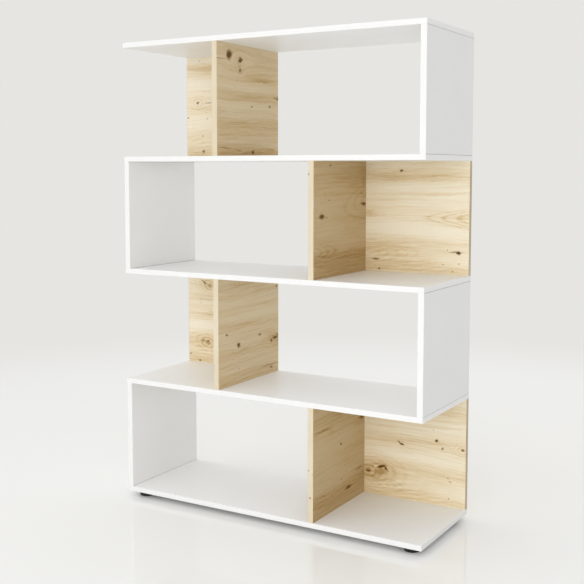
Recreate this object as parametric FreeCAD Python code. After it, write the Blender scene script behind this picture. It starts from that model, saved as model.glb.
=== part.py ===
import FreeCAD, Part
import os

Vector = FreeCAD.Vector

# Free-standing shelving unit that works as a room divider.
# White shelves and white side panels fold back and forth in one zigzag from floor to top.
# On each level an oak divider and an oak back panel, joined as an L, carry the open end.
# Every seam is a butt joint with glued wooden biscuits, so no fitting shows on any face.
# Frame: origin on the floor under the middle, X to the right, Y to the back, Z up.
# All sizes are in millimetres.

# Overall sizes
width = 1040.0
depth = 354.0
level_count = 4
bay_height = 343.5
small_bay_width = 344.0

# Boards
shelf_thickness = 16.0
upright_thickness = 18.0
back_thickness = 16.0

# Edging strips on every board edge that stays in sight, with broken outer arrises
edging_thickness = 1.0
edging_land = 0.4

# Biscuits, and the slots that a round cutter makes for them in both boards of a seam
biscuit_length = 53.0
biscuit_width = 19.0
biscuit_thickness = 4.0
biscuit_inset = 85.0
slot_relief = 0.5
cutter_diameter = 100.0

# Press-in glides under the bottom shelf
glide_height = 17.0
glide_diameter = 50.0
glide_contact_diameter = 45.0
glide_rim_height = 3.0
glide_bulge = 0.7
glide_peg_diameter = 10.0
glide_peg_length = 10.5
glide_inset_x = 45.0
glide_inset_y = 40.0

# Places that follow from the sizes
x_axis = Vector(1, 0, 0)
y_axis = Vector(0, 1, 0)
z_axis = Vector(0, 0, 1)
left = -width / 2
right = width / 2
front = -depth / 2
back = depth / 2
level_pitch = bay_height + shelf_thickness
slot_depth = biscuit_width / 2 + slot_relief

# Solids by node name, and the cuts still to be made in each board
pieces = {}
cuts = {}


def block(corner, opposite):
    """Box between two opposite corners, given in any order."""
    low = Vector(*(min(pair) for pair in zip(corner, opposite)))
    high = Vector(*(max(pair) for pair in zip(corner, opposite)))
    size = high - low
    return Part.makeBox(size.x, size.y, size.z, low)


def edging_strip(low, high, outward, run):
    """Strip with a chamfer along both outer arrises."""
    strip = block(low, high)
    outer_reach = max(vertex.Point.dot(outward) for vertex in strip.Vertexes)
    arrises = []
    for edge in strip.Edges:
        start, end = (vertex.Point for vertex in edge.Vertexes)
        along_run = abs((end - start).dot(run)) > edge.Length / 2
        on_outer_face = abs(start.dot(outward) - outer_reach) < edging_land / 2
        if along_run and on_outer_face:
            arrises.append(edge)
    return strip.makeChamfer(edging_thickness - edging_land, arrises)


def edged_board(name, low, high, edges):
    """Board core with a glued strip on each listed edge, inside the box from low to high.

    Each edge is a pair: the way it faces and the way it runs.
    Edges listed first reach from end to end, and the later ones fit between them.
    """
    core_low = Vector(low)
    core_high = Vector(high)
    strips = []
    for outward, run in edges:
        strip_low = Vector(core_low)
        strip_high = Vector(core_high)
        band = outward * edging_thickness
        if outward.x + outward.y > 0:
            core_high -= band
            strip_low += outward * (core_high - core_low).dot(outward)
        else:
            core_low -= band
            strip_high += outward * (core_high - core_low).dot(-outward)
        strips.append(edging_strip(strip_low, strip_high, outward, run))
    pieces[name] = [block(core_low, core_high)]
    pieces[name + "_edging"] = strips


def shelf_name(index):
    """Shelves are counted from the floor."""
    if index == 0:
        return "bottom_shelf"
    if index == level_count:
        return "top_shelf"
    return f"shelf_{index + 1}"


def add_shelf(index):
    """White shelf over the whole width, edged all round."""
    underside = glide_height + index * level_pitch
    low = Vector(left, front, underside)
    high = Vector(right, back, underside + shelf_thickness)
    edges = [(-y_axis, x_axis), (y_axis, x_axis), (-x_axis, y_axis), (x_axis, y_axis)]
    edged_board(shelf_name(index), low, high, edges)


def cut_slot(board, seam, inward, flat):
    """Slot in one board: the cutter goes in along inward and is as thick as the biscuit."""
    centre = seam - inward * (cutter_diameter / 2 - slot_depth)
    start = centre - flat * (biscuit_thickness / 2)
    cutter = Part.makeCylinder(cutter_diameter / 2, biscuit_thickness, start, flat)
    cuts.setdefault(board, []).append(cutter)


def biscuit(seam, across, flat):
    """Flat wooden lens with blunt ends, lying half in each board of the seam.

    Its sides run parallel to the rounded bottoms of both slots, a relief away from them.
    """
    along = across.cross(flat)
    half_size = along * (biscuit_length / 2) + across * (biscuit_width / 2)
    half_size += flat * (biscuit_thickness / 2)
    lens = block(seam - half_size, seam + half_size)
    radius = cutter_diameter / 2 - slot_relief
    start = seam - flat * (biscuit_thickness / 2)
    for side in (across, -across):
        centre = start + side * (radius - biscuit_width / 2)
        lens = lens.common(Part.makeCylinder(radius, biscuit_thickness, centre, flat))
    return lens.Solids[0]


def join(group, board, other_board, seam, across, flat):
    """Biscuit joint in a seam: across points out of board into other_board."""
    cut_slot(board, seam, -across, flat)
    cut_slot(other_board, seam, across, flat)
    pieces.setdefault(group, []).append(biscuit(seam, across, flat))


def add_upright(name, group, outer_x, inner_x, ends):
    """Upright board between two shelves, edged front and back, with two biscuits an end."""
    floor, ceiling = (height for shelf, height, upward in ends)
    low = Vector(min(outer_x, inner_x), front, floor)
    high = Vector(max(outer_x, inner_x), back, ceiling)
    edged_board(name, low, high, [(-y_axis, z_axis), (y_axis, z_axis)])
    middle = (outer_x + inner_x) / 2
    for shelf, height, upward in ends:
        for place in (front + biscuit_inset, back - biscuit_inset):
            join(group, name, shelf, Vector(middle, place, height), upward, x_axis)


def add_back_panel(name, divider, divider_face, open_end, ends):
    """Oak panel from the divider to the open end, edged there, with biscuits on three sides."""
    floor, ceiling = (height for shelf, height, upward in ends)
    outward = x_axis * open_end
    panel_end = open_end * width / 2
    low = Vector(min(divider_face, panel_end), back - back_thickness, floor)
    high = Vector(max(divider_face, panel_end), back, ceiling)
    edged_board(name, low, high, [(outward, z_axis)])
    middle = back - back_thickness / 2
    inset = outward * biscuit_inset
    for shelf, height, upward in ends:
        divider_corner = Vector(divider_face, middle, height)
        open_corner = Vector(panel_end, middle, height)
        for seam in (divider_corner + inset, open_corner - inset):
            join("back_panel_biscuits", name, shelf, seam, upward, y_axis)
    for height in (floor + biscuit_inset, ceiling - biscuit_inset):
        seam = Vector(divider_face, middle, height)
        join("back_panel_biscuits", name, divider, seam, -outward, y_axis)


def add_level(level):
    """Side panel, divider and back panel of one level, with their joints.

    Levels are counted from the floor, and the open end changes sides from one to the next.
    """
    floor = glide_height + shelf_thickness + (level - 1) * level_pitch
    ends = [
        (shelf_name(level - 1), floor, -z_axis),
        (shelf_name(level), floor + bay_height, z_axis),
    ]
    open_end = 1 if level % 2 else -1

    closed_face = -open_end * width / 2
    inner_face = closed_face + open_end * upright_thickness
    add_upright(f"side_panel_{level}", "side_panel_biscuits", closed_face, inner_face, ends)

    divider_face = open_end * (width / 2 - small_bay_width)
    far_face = divider_face - open_end * upright_thickness
    add_upright(f"divider_{level}", "divider_biscuits", divider_face, far_face, ends)

    add_back_panel(f"back_panel_{level}", f"divider_{level}", divider_face, open_end, ends)


def add_glide(group, x, y):
    """Round glide with a domed lower edge and a peg pressed into the bottom shelf."""
    contact_radius = glide_contact_diameter / 2
    rim_radius = glide_diameter / 2
    peg_radius = glide_peg_diameter / 2
    contact = Vector(contact_radius, 0, 0)
    rim = Vector(rim_radius, 0, glide_height - glide_rim_height)
    peg_top = glide_height + glide_peg_length
    chord = rim - contact
    bulge = Vector(chord.z, 0, -chord.x).normalize() * glide_bulge
    corners = [
        rim,
        Vector(rim_radius, 0, glide_height),
        Vector(peg_radius, 0, glide_height),
        Vector(peg_radius, 0, peg_top),
        Vector(0, 0, peg_top),
        Vector(0, 0, 0),
        contact,
    ]
    dome = Part.Arc(contact, contact + chord / 2 + bulge, rim).toShape()
    sides = [Part.makeLine(start, end) for start, end in zip(corners, corners[1:])]
    profile = Part.Face(Part.Wire([dome] + sides))
    glide = profile.revolve(Vector(0, 0, 0), z_axis, 360)
    glide.translate(Vector(x, y, 0))
    pieces.setdefault(group, []).append(glide)
    peg_hole = Part.makeCylinder(peg_radius, glide_peg_length, Vector(x, y, glide_height))
    cuts.setdefault("bottom_shelf", []).append(peg_hole)


for index in range(level_count + 1):
    add_shelf(index)
for level in range(1, level_count + 1):
    add_level(level)
for x in (left + glide_inset_x, right - glide_inset_x):
    add_glide("front_glides", x, front + glide_inset_y)
    add_glide("back_glides", x, back - glide_inset_y)

for board, tools in cuts.items():
    pieces[board] = pieces[board][0].cut(tools).Solids

os.makedirs("parts", exist_ok=True)
for name, solids in pieces.items():
    shape = solids[0] if len(solids) == 1 else Part.Compound(solids)
    shape.exportStep(f"parts/{name}.step")
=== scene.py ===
import math

import bmesh
import bpy
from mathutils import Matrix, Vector


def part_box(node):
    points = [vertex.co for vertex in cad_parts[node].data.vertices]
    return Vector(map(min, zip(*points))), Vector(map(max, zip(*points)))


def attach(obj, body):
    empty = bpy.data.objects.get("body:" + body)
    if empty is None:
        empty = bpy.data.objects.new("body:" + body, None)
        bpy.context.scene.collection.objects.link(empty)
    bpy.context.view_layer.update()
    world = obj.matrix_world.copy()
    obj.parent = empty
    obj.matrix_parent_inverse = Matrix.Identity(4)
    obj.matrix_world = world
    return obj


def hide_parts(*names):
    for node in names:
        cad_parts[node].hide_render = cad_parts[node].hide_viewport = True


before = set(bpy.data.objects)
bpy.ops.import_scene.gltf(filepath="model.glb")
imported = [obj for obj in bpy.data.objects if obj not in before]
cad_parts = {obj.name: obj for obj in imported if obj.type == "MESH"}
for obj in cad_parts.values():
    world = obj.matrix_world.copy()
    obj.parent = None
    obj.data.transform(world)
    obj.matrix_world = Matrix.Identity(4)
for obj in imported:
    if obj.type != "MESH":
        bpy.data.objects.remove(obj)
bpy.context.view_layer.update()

# Glides: four black plastic feet that the whole unit stands on.
# Each is moulded in one piece, a round foot with a rounded lower edge, with a peg on top.
# The peg is pressed into a hole under the bottom shelf, near the corner.
glide_segments = 64
glide_dome_steps = 8
glide_contact_radius = 0.0225
glide_rim_height = 0.003
glide_peg_radius = 0.005
glide_rounding = 0.0006
glide_rounding_steps = 3
glide_corner_angle = math.radians(60)
glide_sharp_angle = math.radians(25)
glide_merge_distance = 0.000001
glide_grain_depth = 0.00006


def tone(red, green, blue):
    """Colour written as 0 to 255 a channel, as the linear colour that shaders take."""
    channels = []
    for value in (red / 255, green / 255, blue / 255):
        channels.append(value / 12.92 if value <= 0.04045 else ((value + 0.055) / 1.055) ** 2.4)
    return (*channels, 1.0)


def feed(tree, socket, value):
    """Gives an input a plain value, or links it to another node's output."""
    if isinstance(value, bpy.types.NodeSocket):
        tree.links.new(value, socket)
    else:
        socket.default_value = value


def put(tree, kind, inputs=None, **settings):
    """New node with its settings and inputs, the inputs by name or by number."""
    node = tree.nodes.new(kind)
    for name, value in settings.items():
        setattr(node, name, value)
    for key, value in (inputs or {}).items():
        feed(tree, node.inputs[key], value)
    return node


def noise(tree, vector, scale, detail=2.0, roughness=0.5):
    """Value of a noise texture, from 0 to 1."""
    inputs = {"Vector": vector, "Scale": scale, "Detail": detail, "Roughness": roughness}
    return put(tree, "ShaderNodeTexNoise", inputs).outputs[0]


def spread(tree, value, low, high, to_low=0.0, to_high=1.0):
    """Value taken smoothly from one range to another, and held at its ends."""
    inputs = {"Value": value, "From Min": low, "From Max": high, "To Min": to_low, "To Max": to_high}
    return put(tree, "ShaderNodeMapRange", inputs, interpolation_type="SMOOTHSTEP").outputs[0]


def blend(tree, share, first, second):
    """Mix of two colours."""
    node = put(tree, "ShaderNodeMix", {0: share, 6: first, 7: second}, data_type="RGBA")
    return node.outputs[2]


def new_material(name):
    """Empty material: its node tree, its shader and the object's own coordinates."""
    material = bpy.data.materials.new(name)
    material.use_nodes = True
    tree = material.node_tree
    tree.nodes.clear()
    shader = put(tree, "ShaderNodeBsdfPrincipled")
    put(tree, "ShaderNodeOutputMaterial", {"Surface": shader.outputs[0]})
    coordinates = put(tree, "ShaderNodeTexCoord").outputs["Object"]
    return material, tree, shader, coordinates


def emboss(tree, shader, height, distance):
    """Fine relief on the surface, as deep as the distance."""
    bump = put(tree, "ShaderNodeBump", {"Height": height, "Distance": distance, "Strength": 1.0})
    feed(tree, shader.inputs["Normal"], bump.outputs[0])


def black_plastic():
    """Moulded plastic with a fine spark-eroded grain and a soft sheen."""
    material, tree, shader, place = new_material("black_plastic")
    grain = noise(tree, place, 2600, 2)
    cloud = noise(tree, place, 120, 3)
    black = tone(14, 14, 15)
    sheen = tone(24, 24, 25)
    feed(tree, shader.inputs["Base Color"], blend(tree, cloud, black, sheen))
    feed(tree, shader.inputs["Roughness"], spread(tree, cloud, 0.3, 0.7, 0.34, 0.46))
    emboss(tree, shader, grain, glide_grain_depth)
    return material


def glide(name, node, x, y, radius, rim_top, peg_top):
    """Glide turned round its own axis from half of its section."""
    rim = Vector((radius, 0, rim_top - glide_rim_height))
    contact = Vector((glide_contact_radius, 0, 0))
    section = [Vector((0, 0, 0))]
    for step in range(glide_dome_steps + 1):
        angle = math.radians(90) * step / glide_dome_steps
        out = contact.x + (rim.x - contact.x) * math.sin(angle)
        up = rim.z * (1 - math.cos(angle))
        section.append(Vector((out, 0, up)))
    section.append(Vector((radius, 0, rim_top)))
    section.append(Vector((glide_peg_radius, 0, rim_top)))
    section.append(Vector((glide_peg_radius, 0, peg_top)))
    section.append(Vector((0, 0, peg_top)))

    mesh = bmesh.new()
    points = [mesh.verts.new(point) for point in section]
    edges = [mesh.edges.new(pair) for pair in zip(points, points[1:])]
    bmesh.ops.spin(mesh, geom=points + edges, cent=(0, 0, 0), axis=(0, 0, 1), angle=math.radians(360),
                   steps=glide_segments, use_merge=True)
    bmesh.ops.remove_doubles(mesh, verts=mesh.verts, dist=glide_merge_distance)
    bmesh.ops.recalc_face_normals(mesh, faces=mesh.faces)
    corners = [edge for edge in mesh.edges if edge.calc_face_angle(0) > glide_corner_angle]
    bmesh.ops.bevel(mesh, geom=corners, offset=glide_rounding, affect="EDGES",
                    segments=glide_rounding_steps, profile=0.5, material=-1)
    bmesh.ops.translate(mesh, verts=mesh.verts, vec=(x, y, 0))
    for face in mesh.faces:
        face.smooth = True
    data = bpy.data.meshes.new(name)
    mesh.to_mesh(data)
    mesh.free()
    data.set_sharp_from_angle(angle=glide_sharp_angle)
    piece = bpy.data.objects.new(name, data)
    bpy.context.scene.collection.objects.link(piece)
    piece.data.materials.append(glide_plastic)
    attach(piece, "root")
    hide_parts(node)


glide_plastic = black_plastic()
shelf_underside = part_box("bottom_shelf")[0].z
for node in ("front_glides", "back_glides"):
    low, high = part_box(node)
    glide_radius = (high.y - low.y) / 2
    glide_y = (low.y + high.y) / 2
    row = node.removesuffix("_glides")
    for side, glide_x in (("left", low.x + glide_radius), ("right", high.x - glide_radius)):
        glide(f"{row}_{side}_glide", node, glide_x, glide_y, glide_radius, shelf_underside, high.z)

# Shelves and side panels: the white boards of the zigzag.
# They are chipboard with a white melamine face on both sides, pressed with a fine pearl grain.
# The side panels stand between the shelves, left and right in turn.
melamine_white = tone(244, 244, 243)
melamine_shade = tone(240, 240, 239)
melamine_gloss = 0.15
pearl_depth = 0.000008
# Painted shade: the grey hairline at each end of a side panel stands for the joint with the shelf and the
# shade in its hairline gap.
joint_shade_grey = tone(112, 108, 102)
seam_width = 0.0006


def calc(tree, operation, *values):
    """Output of a Math node."""
    return put(tree, "ShaderNodeMath", dict(enumerate(values)), operation=operation).outputs[0]


def dress(names, material):
    """Gives CAD pieces their finish."""
    for name in names:
        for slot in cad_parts[name].material_slots:
            slot.material = material


def white_melamine(name, cut_ends=None):
    """Satin white face with a fine pearl grain, a trace of cloudiness, and a grey hairline at both cut
    ends, inside and out: the joint line with the shelf, with the shade of its hairline gap painted in.
    """
    material, tree, shader, place = new_material(name)
    cloud = noise(tree, place, 9, 3)
    pearl = noise(tree, place, 1300, 3, 0.6)
    colour = blend(tree, cloud, melamine_shade, melamine_white)
    # The hairline at the cut ends is painted shade of the joint, on the inner faces too.
    if cut_ends:
        low, high = cut_ends
        height = put(tree, "ShaderNodeSeparateXYZ", {0: place}).outputs["Z"]
        from_middle = calc(tree, "ABSOLUTE", calc(tree, "SUBTRACT", height, (low + high) / 2))
        seam = calc(tree, "GREATER_THAN", from_middle, (high - low) / 2 - seam_width)
        colour = blend(tree, seam, colour, joint_shade_grey)
    feed(tree, shader.inputs["Base Color"], colour)
    feed(tree, shader.inputs["Roughness"], spread(tree, pearl, 0.3, 0.7, 0.28, 0.36))
    shader.inputs["Specular IOR Level"].default_value = melamine_gloss
    emboss(tree, shader, pearl, pearl_depth)
    return material


levels = range(1, 5)
shelves = ["bottom_shelf", "shelf_2", "shelf_3", "shelf_4", "top_shelf"]
side_panels = [f"side_panel_{level}" for level in levels]
dress(shelves, white_melamine("white_melamine"))
for name in side_panels:
    low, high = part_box(name)
    dress([name], white_melamine(f"white_melamine_{name}", (low.z, high.z)))

# White edging: plastic strips glued round the white boards, flush with their faces.
# The outer arrises are scraped off after the glue has set, so they catch a thin line of light.
edging_white = tone(246, 246, 245)
edging_shade = tone(243, 243, 242)
scrape_depth = 0.00003


def white_edging():
    """Plain white plastic, a touch glossier than the faces, with faint marks of the scraper."""
    material, tree, shader, place = new_material("white_edging")
    cloud = noise(tree, place, 30, 3)
    scrape = noise(tree, place, 40, 4)
    feed(tree, shader.inputs["Base Color"], blend(tree, cloud, edging_shade, edging_white))
    feed(tree, shader.inputs["Roughness"], spread(tree, scrape, 0.3, 0.7, 0.30, 0.40))
    emboss(tree, shader, scrape, scrape_depth)
    return material


dress([name + "_edging" for name in shelves + side_panels], white_edging())

# Dividers and back panels: an oak L on each level that carries its open end.
# They are chipboard with a printed oak face, the grain lying down, with knots, flames and streaks.
# The back panel butts against the side of the divider.
oak_cream = tone(246, 237, 216)
oak_straw = tone(238, 223, 193)
oak_honey = tone(220, 196, 152)
oak_tan = tone(190, 157, 106)
knot_brown = tone(148, 108, 50)
knot_dark = tone(94, 62, 14)
# The dividers are painted darker and browner than the back panels, as painted shade for the lesser light
# they get. On levels 1 and 3 the corner bay is at the right end, so the divider's face looks into the bay
# and is painted darker still, and the back panel there is a touch paler, as painted light.
divider_shade_tints = ((0.76, 0.685, 0.565, 1.0), (0.65, 0.55, 0.40, 1.0))
back_panel_light_tints = ((1.0, 1.0, 1.0, 1.0), (1.05, 1.05, 1.04, 1.0))
ring_spacing = 0.012
oak_gloss = 0.35
pore_depth = 0.00012
millimetre = 0.001
full_turn = math.radians(360)


def new_group(name, inputs, outputs):
    """Empty node group with its sockets: the group, its inputs and its end node."""
    group = bpy.data.node_groups.new(name, "ShaderNodeTree")
    for label, kind in inputs:
        group.interface.new_socket(name=label, in_out="INPUT", socket_type=f"NodeSocket{kind}")
    for label, kind in outputs:
        group.interface.new_socket(name=label, in_out="OUTPUT", socket_type=f"NodeSocket{kind}")
    start = put(group, "NodeGroupInput")
    end = put(group, "NodeGroupOutput")
    return group, start.outputs, end


def vector_calc(tree, operation, *values, output="Vector"):
    """Output of a Vector Math node."""
    return put(tree, "ShaderNodeVectorMath", dict(enumerate(values)), operation=operation).outputs[output]


def stretched(tree, vector, *scale):
    """Coordinates scaled by a factor along each axis."""
    return vector_calc(tree, "MULTIPLY", vector, scale)


def lifted(group, vector, lift):
    """Coordinates moved up by a varying amount."""
    shift = put(group, "ShaderNodeCombineXYZ", {"Z": lift}).outputs[0]
    return vector_calc(group, "ADD", vector, shift)


def centred(group, value, reach):
    """Noise value turned into a swing to both sides of zero."""
    return calc(group, "MULTIPLY_ADD", value, 2 * reach, -reach)


def grain_wander_group():
    """Coordinates that wander slowly and fray finely, so that no line or knot is ruled or round."""
    group, given, end = new_group("grain_wander", [("Vector", "Vector")], [("Vector", "Vector")])
    slow = noise(group, stretched(group, given["Vector"], 3.2, 60, 8), 1, 1)
    inputs = {"Vector": stretched(group, given["Vector"], 60, 60, 110), "Scale": 1.0, "Detail": 3.0}
    ragged = put(group, "ShaderNodeTexNoise", inputs).outputs["Color"]
    frayed = vector_calc(group, "MULTIPLY_ADD", ragged, (0.016, 0, 0.008), (-0.008, 0, -0.004))
    wandered = lifted(group, given["Vector"], centred(group, slow, 0.012))
    feed(group, end.inputs["Vector"], vector_calc(group, "ADD", wandered, frayed))
    return group


oak_chain = [("Bend", "Float"), ("Knot", "Float"), ("Lines", "Float")]
oak_place = [("Vector", "Vector"), ("Place", "Vector"), ("Turn", "Vector"), ("Size", "Vector")]


def around_mark(group, given):
    """Flat coordinates round one mark, in units of its half sizes."""
    inputs = {"Vector": given["Vector"], "Location": given["Place"], "Rotation": given["Turn"],
              "Scale": given["Size"]}
    local = put(group, "ShaderNodeMapping", inputs, vector_type="TEXTURE").outputs[0]
    return stretched(group, local, 1, 0, 1)


def nearness(group, distance, reach):
    """1 in the middle of a mark, and fading to 0 beyond its reach."""
    part = calc(group, "DIVIDE", distance, reach)
    return calc(group, "POWER", calc(group, "MULTIPLY_ADD", part, part, 1.0), -2.0)


def knot_group():
    """One knot: a lens with a dark core and a brown rim, growth rings and grain that bends round it."""
    inputs = oak_place + [("Darkness", "Float"), ("Swirl", "Float")] + oak_chain
    group, given, end = new_group("knot", inputs, oak_chain)
    flat = around_mark(group, given)
    distance = vector_calc(group, "LENGTH", flat, output="Value")
    unsigned = vector_calc(group, "ABSOLUTE", flat)
    pointed = vector_calc(group, "DOT_PRODUCT", unsigned, (0.5, 0, 0.5), output="Value")
    lens = calc(group, "MULTIPLY_ADD", distance, 0.7, pointed)
    falloff = calc(group, "ADD", 1.0, calc(group, "POWER", lens, 4.0))
    core = calc(group, "DIVIDE", given["Darkness"], falloff)
    feed(group, end.inputs["Knot"], calc(group, "MAXIMUM", core, given["Knot"]))
    near = nearness(group, distance, 2.2)
    ring = calc(group, "SINE", calc(group, "MULTIPLY", distance, 7.0))
    ring = calc(group, "MULTIPLY", spread(group, ring, -0.2, 1.0), near)
    feed(group, end.inputs["Lines"], calc(group, "MULTIPLY_ADD", ring, given["Swirl"], given["Lines"]))
    height = put(group, "ShaderNodeSeparateXYZ", {0: flat}).outputs["Z"]
    half_height = put(group, "ShaderNodeSeparateXYZ", {0: given["Size"]}).outputs["Z"]
    bend = calc(group, "MULTIPLY", calc(group, "MULTIPLY", height, half_height), near)
    feed(group, end.inputs["Bend"], calc(group, "MULTIPLY_ADD", bend, -0.9, given["Bend"]))
    return group


def flame_group():
    """One flame: nested round arches of growth rings, as where a slanting cut meets them."""
    inputs = oak_place + [("Darkness", "Float"), ("Rings", "Float")] + oak_chain
    group, given, end = new_group("flame", inputs, oak_chain)
    parts = put(group, "ShaderNodeSeparateXYZ", {0: around_mark(group, given)}).outputs
    arch = calc(group, "SUBTRACT", calc(group, "MULTIPLY", parts["Z"], parts["Z"]), parts["X"])
    turns = calc(group, "MULTIPLY", calc(group, "MULTIPLY", arch, given["Rings"]), full_turn)
    line = spread(group, calc(group, "SINE", turns), -0.3, 1.0, 0.2, 1.0)
    inside = calc(group, "MULTIPLY", spread(group, arch, 0.1, -0.12), spread(group, arch, -1.8, -1.0))
    inside = calc(group, "MULTIPLY", inside, spread(group, parts["X"], 2.2, 1.0))
    line = calc(group, "MULTIPLY", line, inside)
    feed(group, end.inputs["Lines"], calc(group, "MULTIPLY_ADD", line, given["Darkness"], given["Lines"]))
    feed(group, end.inputs["Knot"], given["Knot"])
    feed(group, end.inputs["Bend"], given["Bend"])
    return group


def band_group():
    """One broad band of late or early wood, darker or paler than the wood round it; some are painted
    shade instead.
    """
    inputs = oak_place + [("Darkness", "Float")] + oak_chain
    group, given, end = new_group("band", inputs, oak_chain)
    distance = vector_calc(group, "LENGTH", around_mark(group, given), output="Value")
    near = nearness(group, distance, 1.3)
    feed(group, end.inputs["Lines"], calc(group, "MULTIPLY_ADD", near, given["Darkness"], given["Lines"]))
    feed(group, end.inputs["Knot"], given["Knot"])
    feed(group, end.inputs["Bend"], given["Bend"])
    return group


def oak_decor_group():
    """Oak colours: broad bands, growth rings, streaks and fibres along the grain, then the knots."""
    inputs = [("Vector", "Vector"), ("Painted light tint", "Color")] + oak_chain
    outputs = [("Color", "Color"), ("Roughness", "Float"), ("Height", "Float")]
    group, given, end = new_group("oak_decor", inputs, outputs)
    grain = lifted(group, given["Vector"], given["Bend"])
    band = noise(group, stretched(group, grain, 0.9, 60, 21), 1, 2, 0.5)
    streak = noise(group, stretched(group, grain, 5.0, 60, 150), 1, 3, 0.65)
    fibre = noise(group, stretched(group, grain, 16, 60, 400), 1, 3, 0.6)

    height = put(group, "ShaderNodeSeparateXYZ", {0: grain}).outputs["Z"]
    drift = noise(group, stretched(group, grain, 2.4, 60, 10), 1, 1)
    turns = calc(group, "MULTIPLY_ADD", drift, 9.0, calc(group, "DIVIDE", height, ring_spacing))
    ring = spread(group, calc(group, "SINE", calc(group, "MULTIPLY", turns, full_turn)), -0.2, 1.0)
    shown = spread(group, noise(group, stretched(group, grain, 2.0, 60, 13), 1, 1), 0.42, 0.62)
    ring = calc(group, "MULTIPLY", ring, shown)

    depth = calc(group, "MULTIPLY_ADD", spread(group, band, 0.25, 0.75), 0.50, 0.06)
    depth = calc(group, "ADD", depth, centred(group, streak, 0.48))
    depth = calc(group, "ADD", depth, centred(group, fibre, 0.30))
    depth = calc(group, "MULTIPLY_ADD", ring, 0.13, depth)
    depth = calc(group, "MULTIPLY_ADD", given["Lines"], 0.45, depth)
    ramp = put(group, "ShaderNodeValToRGB", {0: depth})
    stops = [(0.0, oak_cream), (0.35, oak_straw), (0.7, oak_honey), (1.0, oak_tan)]
    for position, colour in stops[1:-1]:
        ramp.color_ramp.elements.new(position)
    for element, (position, colour) in zip(ramp.color_ramp.elements, stops):
        element.position = position
        element.color = colour
    # The tint multiplies the decor colour: painted shade on the dividers, and painted light on the back
    # panels of levels 1 and 3.
    decor_with_painted_light = put(group, "ShaderNodeMix", {0: 1.0, 6: ramp.outputs[0], 7: given["Painted light tint"]},
                  data_type="RGBA", blend_type="MULTIPLY").outputs[2]

    frayed = calc(group, "MULTIPLY", given["Knot"], calc(group, "MULTIPLY_ADD", streak, 1.0, 0.5))
    rimmed = blend(group, spread(group, frayed, 0.05, 0.5, 0.0, 0.85), decor_with_painted_light, knot_brown)
    cored = blend(group, spread(group, frayed, 0.42, 0.85), rimmed, knot_dark)
    feed(group, end.inputs["Color"], cored)
    feed(group, end.inputs["Roughness"], spread(group, fibre, 0.3, 0.7, 0.46, 0.60))
    pores = calc(group, "MULTIPLY_ADD", given["Knot"], -0.6, calc(group, "ADD", fibre, streak))
    feed(group, end.inputs["Height"], pores)
    return group


def dark_knot(along, up, length, height, tilt=0):
    """Grown-in knot with a dark core.

    All marks are in millimetres from the front or left lower corner.
    """
    return ("knot", along, up, length, height, tilt, {"Darkness": 1.0, "Swirl": 0.3})


def pin_knot(along, up, length=6, height=6, tilt=0):
    """Brown dot of a cut twig."""
    return ("knot", along, up, length, height, tilt, {"Darkness": 0.7, "Swirl": 0.0})


def fleck(along, up, length=8, height=4, tilt=0):
    """Faint brown fleck or thin streak."""
    return ("knot", along, up, length, height, tilt, {"Darkness": 0.42, "Swirl": 0.0})


def eye(along, up, length, height, tilt=0, swirl=0.9):
    """Grain swirl round a pale knot."""
    return ("knot", along, up, length, height, tilt, {"Darkness": 0.16, "Swirl": swirl})


def flame(along, up, length, height, tilt=0, rings=6, darkness=0.45):
    """Nested arches from a tip, opening to the back or right, or the other way with a tilt of 180."""
    return ("flame", along, up, 2 * length, height, tilt, {"Darkness": darkness, "Rings": rings})


def band(along, up, length, height, tilt=0, darkness=0.8):
    """Broad darker band, or a paler one with a darkness below zero."""
    return ("band", along, up, length, height, tilt, {"Darkness": darkness})


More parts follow.
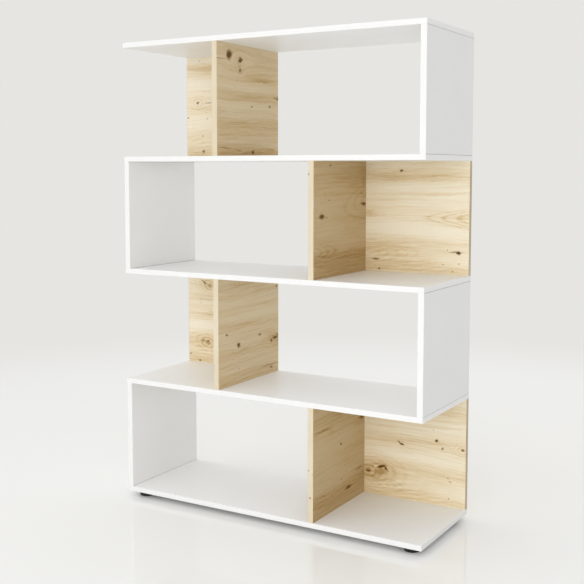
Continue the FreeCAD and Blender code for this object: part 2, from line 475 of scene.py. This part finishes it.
oak_marks = {
    "divider_4": [
        dark_knot(65, 308, 32, 27, 25), fleck(24, 294, 70, 5, 3), dark_knot(126, 299, 28, 14, 12),
        pin_knot(127, 271, 18, 13, 20), eye(122, 286, 50, 40, 0, 0.5), fleck(109, 238, 10, 4),
        pin_knot(193, 155, 12, 6), pin_knot(299, 162, 16, 9), dark_knot(354, 192, 26, 15, 15),
        fleck(335, 192, 40, 8), dark_knot(199, 12, 20, 12), fleck(315, 18, 16, 5),
        fleck(40, 28, 90, 7, -3), fleck(120, 20, 60, 6, -10), flame(62, 138, 60, 30, 180, 4),
        band(255, 250, 200, 34), band(200, 188, 420, 34, 2), band(130, 222, 420, 24, 0, -0.8),
        band(150, 156, 330, 22, 0, -0.7), band(280, 310, 260, 30, 0, 0.5),
        band(180, 14, 420, 34, 0, 0.7),
    ],
    "back_panel_4": [
        eye(46, 190, 34, 26), pin_knot(47, 191, 12, 11), fleck(92, 188, 50, 6), fleck(5, 138, 8, 7),
        fleck(83, 131, 6, 6), fleck(64, 75, 14, 5), pin_knot(69, 24, 14, 10), fleck(65, 15, 8, 5),
        fleck(53, 330, 5, 4), fleck(75, 226, 5, 4), dark_knot(236, 84, 26, 12),
        pin_knot(290, 262, 9, 6), flame(180, 215, 120, 50), band(80, 302, 260, 30),
        band(90, 166, 200, 22, 0, 0.5), band(80, 105, 300, 70, 0, -0.7),
        band(80, 250, 240, 40, 0, -0.5),
    ],
    "divider_3": [
        dark_knot(48, 183, 38, 13), fleck(78, 178, 20, 5, -15), dark_knot(319, 207, 40, 11),
        pin_knot(101, 330, 14, 9), pin_knot(306, 240, 14, 5), fleck(65, 242, 10, 4),
        fleck(96, 222, 12, 5), fleck(46, 218, 6, 4), flame(165, 80, 130, 56, 180, 3, 0.6),
        flame(150, 190, 150, 110, 8, 2.5, 0.5), band(260, 262, 110, 26, 0, 0.5),
        band(319, 268, 60, 20, 90, 0.5), band(100, 143, 250, 36, 0, -0.8),
        band(60, 285, 160, 30, 0, -0.4), band(240, 60, 320, 60, 0, 0.6), band(200, 10, 400, 40, 0, 0.5),
        # The darker band at the top back corner, 310 mm along and 320 mm up, is painted shade of the
        # corner under the shelf and against the back panel.
        band(310, 320, 160, 50, 0, 0.5),
    ],
    "back_panel_3": [
        pin_knot(122, 316, 13, 8), pin_knot(36, 43, 32, 8), pin_knot(49, 11, 9, 6),
        dark_knot(310, 67, 17, 13), fleck(306, 68, 62, 9), fleck(274, 74, 6, 6), fleck(261, 27, 12, 5),
        fleck(311, 32, 7, 5), fleck(291, 8, 10, 4), flame(172, 172, 150, 62, 0, 3, 0.8),
        flame(202, 61, 130, 60, 180, 4, 0.25), flame(75, 182, 60, 26, 180, 4),
        band(80, 295, 280, 22, 0, 0.9), band(240, 300, 260, 16, 0, 0.6),
        # The darker band at 330 mm up, across the whole width, is painted shadow of the shelf above.
        band(170, 330, 400, 24, 0, 0.5), band(190, 268, 400, 28, 0, -0.5),
        band(200, 247, 300, 4, 0, 0.4), band(230, 125, 340, 50, -5, -1.0),
        band(80, 140, 260, 30, 0, -0.6), band(90, 55, 240, 60, 0, 0.2), band(10, 185, 50, 22, 0, 0.8),
    ],
    "divider_2": [
        pin_knot(43, 166, 18, 8), dark_knot(110, 124, 22, 17, -20), pin_knot(235, 136, 18, 9),
        pin_knot(306, 107, 15, 14), dark_knot(330, 115, 32, 10), fleck(345, 124, 30, 14, -20),
        fleck(304, 183, 16, 4), fleck(112, 48, 12, 4), fleck(78, 82, 6, 4),
        pin_knot(308, 15, 20, 8, -10), fleck(290, 25, 150, 7), pin_knot(340, 287, 12, 7),
        flame(70, 318, 120, 40, 0, 5), band(325, 122, 120, 36, -12, 0.8),
        band(120, 190, 300, 20, 0, 0.8), band(170, 216, 420, 30, 0, -0.8),
        band(120, 300, 300, 36, 0, 0.5), band(300, 28, 220, 16, 0, 0.7),
        band(180, 262, 300, 24, 0, -0.4), band(150, 80, 380, 50, 0, -0.4),
    ],
    "back_panel_2": [
        eye(82, 74, 50, 28, -15), pin_knot(62, 80, 14, 6), pin_knot(80, 79, 16, 6),
        eye(91, 182, 22, 22), eye(90, 278, 44, 26, -20), pin_knot(66, 288, 30, 6, -35),
        fleck(5, 31, 12, 9), pin_knot(48, 9, 12, 7), fleck(49, 233, 6, 4), fleck(51, 216, 7, 4),
        dark_knot(262, 190, 30, 13), pin_knot(215, 66, 10, 7), flame(220, 110, 120, 50),
        band(88, 278, 80, 36, 0, 0.7), band(80, 238, 240, 26, 0, 0.5), band(80, 170, 240, 28, 0, 0.5),
        band(80, 130, 260, 40, 0, -0.8), band(84, 72, 70, 30, 0, 0.4),
    ],
    "divider_1": [
        pin_knot(175, 192, 14, 11), dark_knot(225, 45, 48, 13), pin_knot(318, 247, 44, 14),
        fleck(70, 256, 150, 5, -3), fleck(184, 231, 16, 4), fleck(163, 226, 12, 4),
        fleck(163, 283, 14, 4), fleck(210, 104, 14, 4), fleck(179, 85, 16, 5), fleck(300, 91, 60, 8),
        fleck(117, 52, 16, 5), flame(240, 215, 120, 50, 0, 4), flame(90, 62, 90, 40, 180, 4),
        band(115, 232, 34, 16, 90, 0.4), band(300, 182, 140, 30, 0, 0.6),
        band(310, 245, 110, 30, 0, 0.6), band(310, 85, 130, 40, 0, 0.6),
        band(80, 150, 240, 60, 0, -0.5), band(150, 30, 400, 60, 0, 0.4), band(80, 258, 240, 14, 0, 0.5),
    ],
    "back_panel_1": [
        dark_knot(130, 174, 15, 9, -10), fleck(120, 180, 24, 8, -40), dark_knot(248, 206, 10, 12, -30),
        pin_knot(268, 183, 11, 10), eye(333, 185, 28, 22), pin_knot(333, 186, 9, 9),
        fleck(237, 238, 8, 6), eye(16, 78, 46, 30), pin_knot(16, 78, 22, 8),
        dark_knot(60, 94, 30, 9, 14), dark_knot(75, 89, 24, 8, -50), eye(62, 78, 84, 46, 0, 0.5),
        fleck(287, 89, 8, 5), fleck(294, 79, 8, 6), fleck(291, 22, 8, 5),
        flame(160, 36, 110, 56, 180, 4, 0.3), band(100, 188, 280, 28, 2, 0.7),
        band(280, 196, 200, 30, 3, 0.5), band(210, 140, 360, 40, 0, -0.7),
        band(30, 80, 110, 50, 0, 0.5), band(300, 300, 140, 40, 0, 0.4),
    ],
}


def oak_board(name, along_x, painted_light_tint):
    """Oak face for one board, with its own knots, flames and bands."""
    material, tree, shader, place = new_material(f"oak_decor_{name}")
    low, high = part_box(name)
    start = low.x if along_x else low.y
    turn = 0 if along_x else math.radians(-90)
    inputs = {"Vector": place, "Location": (-start, 0, -low.z), "Rotation": (0, 0, turn)}
    board = put(tree, "ShaderNodeMapping", inputs).outputs[0]
    wander = put(tree, "ShaderNodeGroup", node_tree=oak_groups["wander"])
    feed(tree, wander.inputs["Vector"], board)
    chain = {label: 0.0 for label, kind in oak_chain}
    for kind, along, up, length, height, tilt, looks in oak_marks[name]:
        mark = put(tree, "ShaderNodeGroup", node_tree=oak_groups[kind])
        inputs = {
            "Vector": wander.outputs["Vector"],
            "Place": (along * millimetre, 0, up * millimetre),
            "Turn": (0, math.radians(-tilt), 0),
            "Size": (length / 2 * millimetre, 1, height / 2 * millimetre),
        }
        for label, value in (inputs | looks | chain).items():
            feed(tree, mark.inputs[label], value)
        chain = {label: mark.outputs[label] for label, kind in oak_chain}
    decor = put(tree, "ShaderNodeGroup", node_tree=oak_groups["decor"])
    for label, value in ({"Vector": wander.outputs["Vector"], "Painted light tint": painted_light_tint} | chain).items():
        feed(tree, decor.inputs[label], value)
    feed(tree, shader.inputs["Base Color"], decor.outputs["Color"])
    feed(tree, shader.inputs["Roughness"], decor.outputs["Roughness"])
    shader.inputs["Specular IOR Level"].default_value = oak_gloss
    emboss(tree, shader, decor.outputs["Height"], pore_depth)
    return material


oak_groups = {
    "wander": grain_wander_group(),
    "knot": knot_group(),
    "flame": flame_group(),
    "band": band_group(),
    "decor": oak_decor_group(),
}
for level in levels:
    # Levels 1 and 3 have their corner bay at the right end: there the tints paint deeper shade on the
    # divider and light on the back panel.
    bay_on_right = level % 2
    dress([f"divider_{level}"], oak_board(f"divider_{level}", False, divider_shade_tints[bay_on_right]))
    dress([f"back_panel_{level}"], oak_board(f"back_panel_{level}", True, back_panel_light_tints[bay_on_right]))

# Oak edging: printed plastic strips on the upright edges of the oak boards.
# Their print is paler and plainer than the faces, fine fibres with a dot here and there.
divider_edging_tones = (tone(231, 220, 196), tone(222, 207, 177))
back_panel_edging_tones = (tone(200, 184, 153), tone(184, 165, 131))
fibre_depth = 0.00005


def oak_edging(name, pale, deep):
    """Fine fibres up the strip and a few dots."""
    material, tree, shader, place = new_material(name)
    fibre = noise(tree, stretched(tree, place, 700, 700, 14), 1, 3, 0.6)
    cloud = noise(tree, place, 8, 2)
    shade = calc(tree, "MULTIPLY_ADD", fibre, 0.6, calc(tree, "MULTIPLY", cloud, 0.4))
    plain = blend(tree, spread(tree, shade, 0.3, 0.7), pale, deep)
    dots = put(tree, "ShaderNodeTexVoronoi", {"Vector": place, "Scale": 16.0}).outputs["Distance"]
    dotted = blend(tree, spread(tree, dots, 0.09, 0.03, 0.0, 0.7), plain, knot_brown)
    feed(tree, shader.inputs["Base Color"], dotted)
    feed(tree, shader.inputs["Roughness"], spread(tree, fibre, 0.3, 0.7, 0.40, 0.52))
    emboss(tree, shader, fibre, fibre_depth)
    return material


for kind, tones in (("divider", divider_edging_tones), ("back_panel", back_panel_edging_tones)):
    dress([f"{kind}_{level}_edging" for level in levels], oak_edging(f"{kind}_edging", *tones))

# Biscuits: pressed beech lenses that hold every seam, glued into slots that a round cutter made.
# They are out of sight inside the boards.
beech_pale = tone(214, 180, 138)
beech_deep = tone(190, 150, 106)
fleck_depth = 0.0001


def beech():
    """Beech pressed flat, with its short dark flecks."""
    material, tree, shader, place = new_material("beech")
    flecks = noise(tree, stretched(tree, place, 300, 300, 900), 1, 3)
    flecked = blend(tree, spread(tree, flecks, 0.4, 0.65), beech_pale, beech_deep)
    feed(tree, shader.inputs["Base Color"], flecked)
    feed(tree, shader.inputs["Roughness"], spread(tree, flecks, 0.3, 0.7, 0.60, 0.75))
    emboss(tree, shader, flecks, fleck_depth)
    return material


dress([f"{kind}_biscuits" for kind in ("side_panel", "divider", "back_panel")], beech())

# Studio: a pale floor that fades into an even pale background, with soft light.
# The floor is smooth, so it mirrors the unit faintly, and it keeps the shadow under it.
floor_radius = 14.0
floor_segments = 96
floor_fade_start = 2.0
floor_fade_end = 3.6
floor_pale = tone(252, 252, 250)
floor_shade = tone(251, 251, 249)
background = tone(230, 229, 226)
dome_light = 0.645
dome_lean = (-0.30, -0.28, 0.48)
lamp_size = 2.6
low_lamp_size = 1.2
low_lamp_beam = math.radians(50)
unit_middle = (0, 0, 0.75)
unit_foot = (0, 0, -0.3)
floor_behind = (-0.3, 1.2, 0)


def seen_directly(tree):
    """1 for what the camera sees, also in a reflection or through glass."""
    path = put(tree, "ShaderNodeLightPath").outputs
    seen = calc(tree, "MAXIMUM", path["Is Camera Ray"], path["Is Glossy Ray"])
    return calc(tree, "MAXIMUM", seen, path["Is Transmission Ray"])


def studio_floor():
    """Pale floor near the unit, and the background colour further out."""
    material, tree, shader, place = new_material("studio_floor")
    cloud = noise(tree, place, 3, 3)
    feed(tree, shader.inputs["Base Color"], blend(tree, cloud, floor_shade, floor_pale))
    feed(tree, shader.inputs["Roughness"], spread(tree, cloud, 0.3, 0.7, 0.030, 0.040))
    distance = vector_calc(tree, "LENGTH", place, output="Value")
    far = spread(tree, distance, floor_fade_start, floor_fade_end)
    glow = put(tree, "ShaderNodeEmission", {"Color": background, "Strength": 1.0}).outputs[0]
    share = calc(tree, "MULTIPLY", far, seen_directly(tree))
    mixed = put(tree, "ShaderNodeMixShader", {0: share, 1: shader.outputs[0], 2: glow}).outputs[0]
    output = next(node for node in tree.nodes if node.type == "OUTPUT_MATERIAL")
    feed(tree, output.inputs["Surface"], mixed)
    return material


def studio_world():
    """Soft light that leans to the front and top, and the background colour where the camera looks."""
    world = bpy.data.worlds.new("studio_world")
    world.use_nodes = True
    tree = world.node_tree
    tree.nodes.clear()
    direction = put(tree, "ShaderNodeTexCoord").outputs["Generated"]
    lean = vector_calc(tree, "DOT_PRODUCT", direction, dome_lean, output="Value")
    strength = calc(tree, "MULTIPLY_ADD", lean, dome_light, dome_light)
    light = put(tree, "ShaderNodeBackground", {"Color": (1, 1, 1, 1), "Strength": strength}).outputs[0]
    backdrop = put(tree, "ShaderNodeBackground", {"Color": background, "Strength": 1.0}).outputs[0]
    mixed = put(tree, "ShaderNodeMixShader", {0: seen_directly(tree), 1: light, 2: backdrop}).outputs[0]
    put(tree, "ShaderNodeOutputWorld", {"Surface": mixed})
    bpy.context.scene.world = world


def lamp(name, place, target, size, power):
    """Square soft lamp that points at a target and stays out of sight and reflections."""
    light = bpy.data.lights.new(name, "AREA")
    light.size = size
    light.energy = power
    holder = bpy.data.objects.new(name, light)
    holder.location = place
    holder.visible_camera = False
    holder.visible_glossy = False
    holder.rotation_euler = (Vector(target) - Vector(place)).to_track_quat("-Z", "Y").to_euler()
    bpy.context.scene.collection.objects.link(holder)
    return holder


floor_mesh = bmesh.new()
bmesh.ops.create_circle(floor_mesh, cap_ends=True, segments=floor_segments, radius=floor_radius)
floor_data = bpy.data.meshes.new("floor")
floor_mesh.to_mesh(floor_data)
floor_mesh.free()
floor = bpy.data.objects.new("floor", floor_data)
bpy.context.scene.collection.objects.link(floor)
floor.data.materials.append(studio_floor())
studio_world()
lamp("key_lamp", (0, -4.3, 1.5), unit_middle, lamp_size, 16)
lamp("side_lamp", (2.0, -4.4, 1.4), unit_middle, lamp_size, 32)
back_lamp = lamp("back_lamp", (0.4, 4.8, 0.9), unit_middle, lamp_size, 107)
left_lamp = lamp("left_lamp", (-4.6, 0.8, 1.7), unit_middle, lamp_size, 30)
low_lamp = lamp("low_lamp", (1.2, -4.2, 0.65), unit_foot, low_lamp_size, 1.1)
low_lamp.data.spread = low_lamp_beam

# The back, left and low lamps skip the floor, and the floor lamp lights nothing else,
# so the floor stays even. The narrow beam of the low lamp is for the lower boards.
all_but_floor = bpy.data.collections.new("all_but_floor")
all_but_floor.objects.link(floor)
all_but_floor.collection_objects[0].light_linking.link_state = "EXCLUDE"
back_lamp.light_linking.receiver_collection = all_but_floor
left_lamp.light_linking.receiver_collection = all_but_floor
low_lamp.light_linking.receiver_collection = all_but_floor
floor_lamp = lamp("floor_lamp", (-0.2, 3.0, 2.6), floor_behind, lamp_size, 7)
floor_lamp_lights = bpy.data.collections.new("floor_lamp_lights")
floor_lamp_lights.objects.link(floor)
floor_lamp.light_linking.receiver_collection = floor_lamp_lights

# Camera: at the photograph's place, a little above half height, off the front right corner.
# The small lens shift leaves the upright edges close to parallel.
camera_place = (1.565, -2.644, 1.069)
camera_yaw = math.radians(30.62)
camera_pitch = math.radians(-4.86)
camera_lens = 60.96
camera_shift = -0.065

camera_data = bpy.data.cameras.new("camera")
camera_data.lens = camera_lens
camera_data.shift_y = camera_shift
camera = bpy.data.objects.new("camera", camera_data)
camera.location = camera_place
camera.rotation_euler = (math.radians(90) + camera_pitch, 0, camera_yaw)
bpy.context.scene.collection.objects.link(camera)
bpy.context.scene.camera = camera
bpy.context.scene.view_settings.view_transform = "Standard"
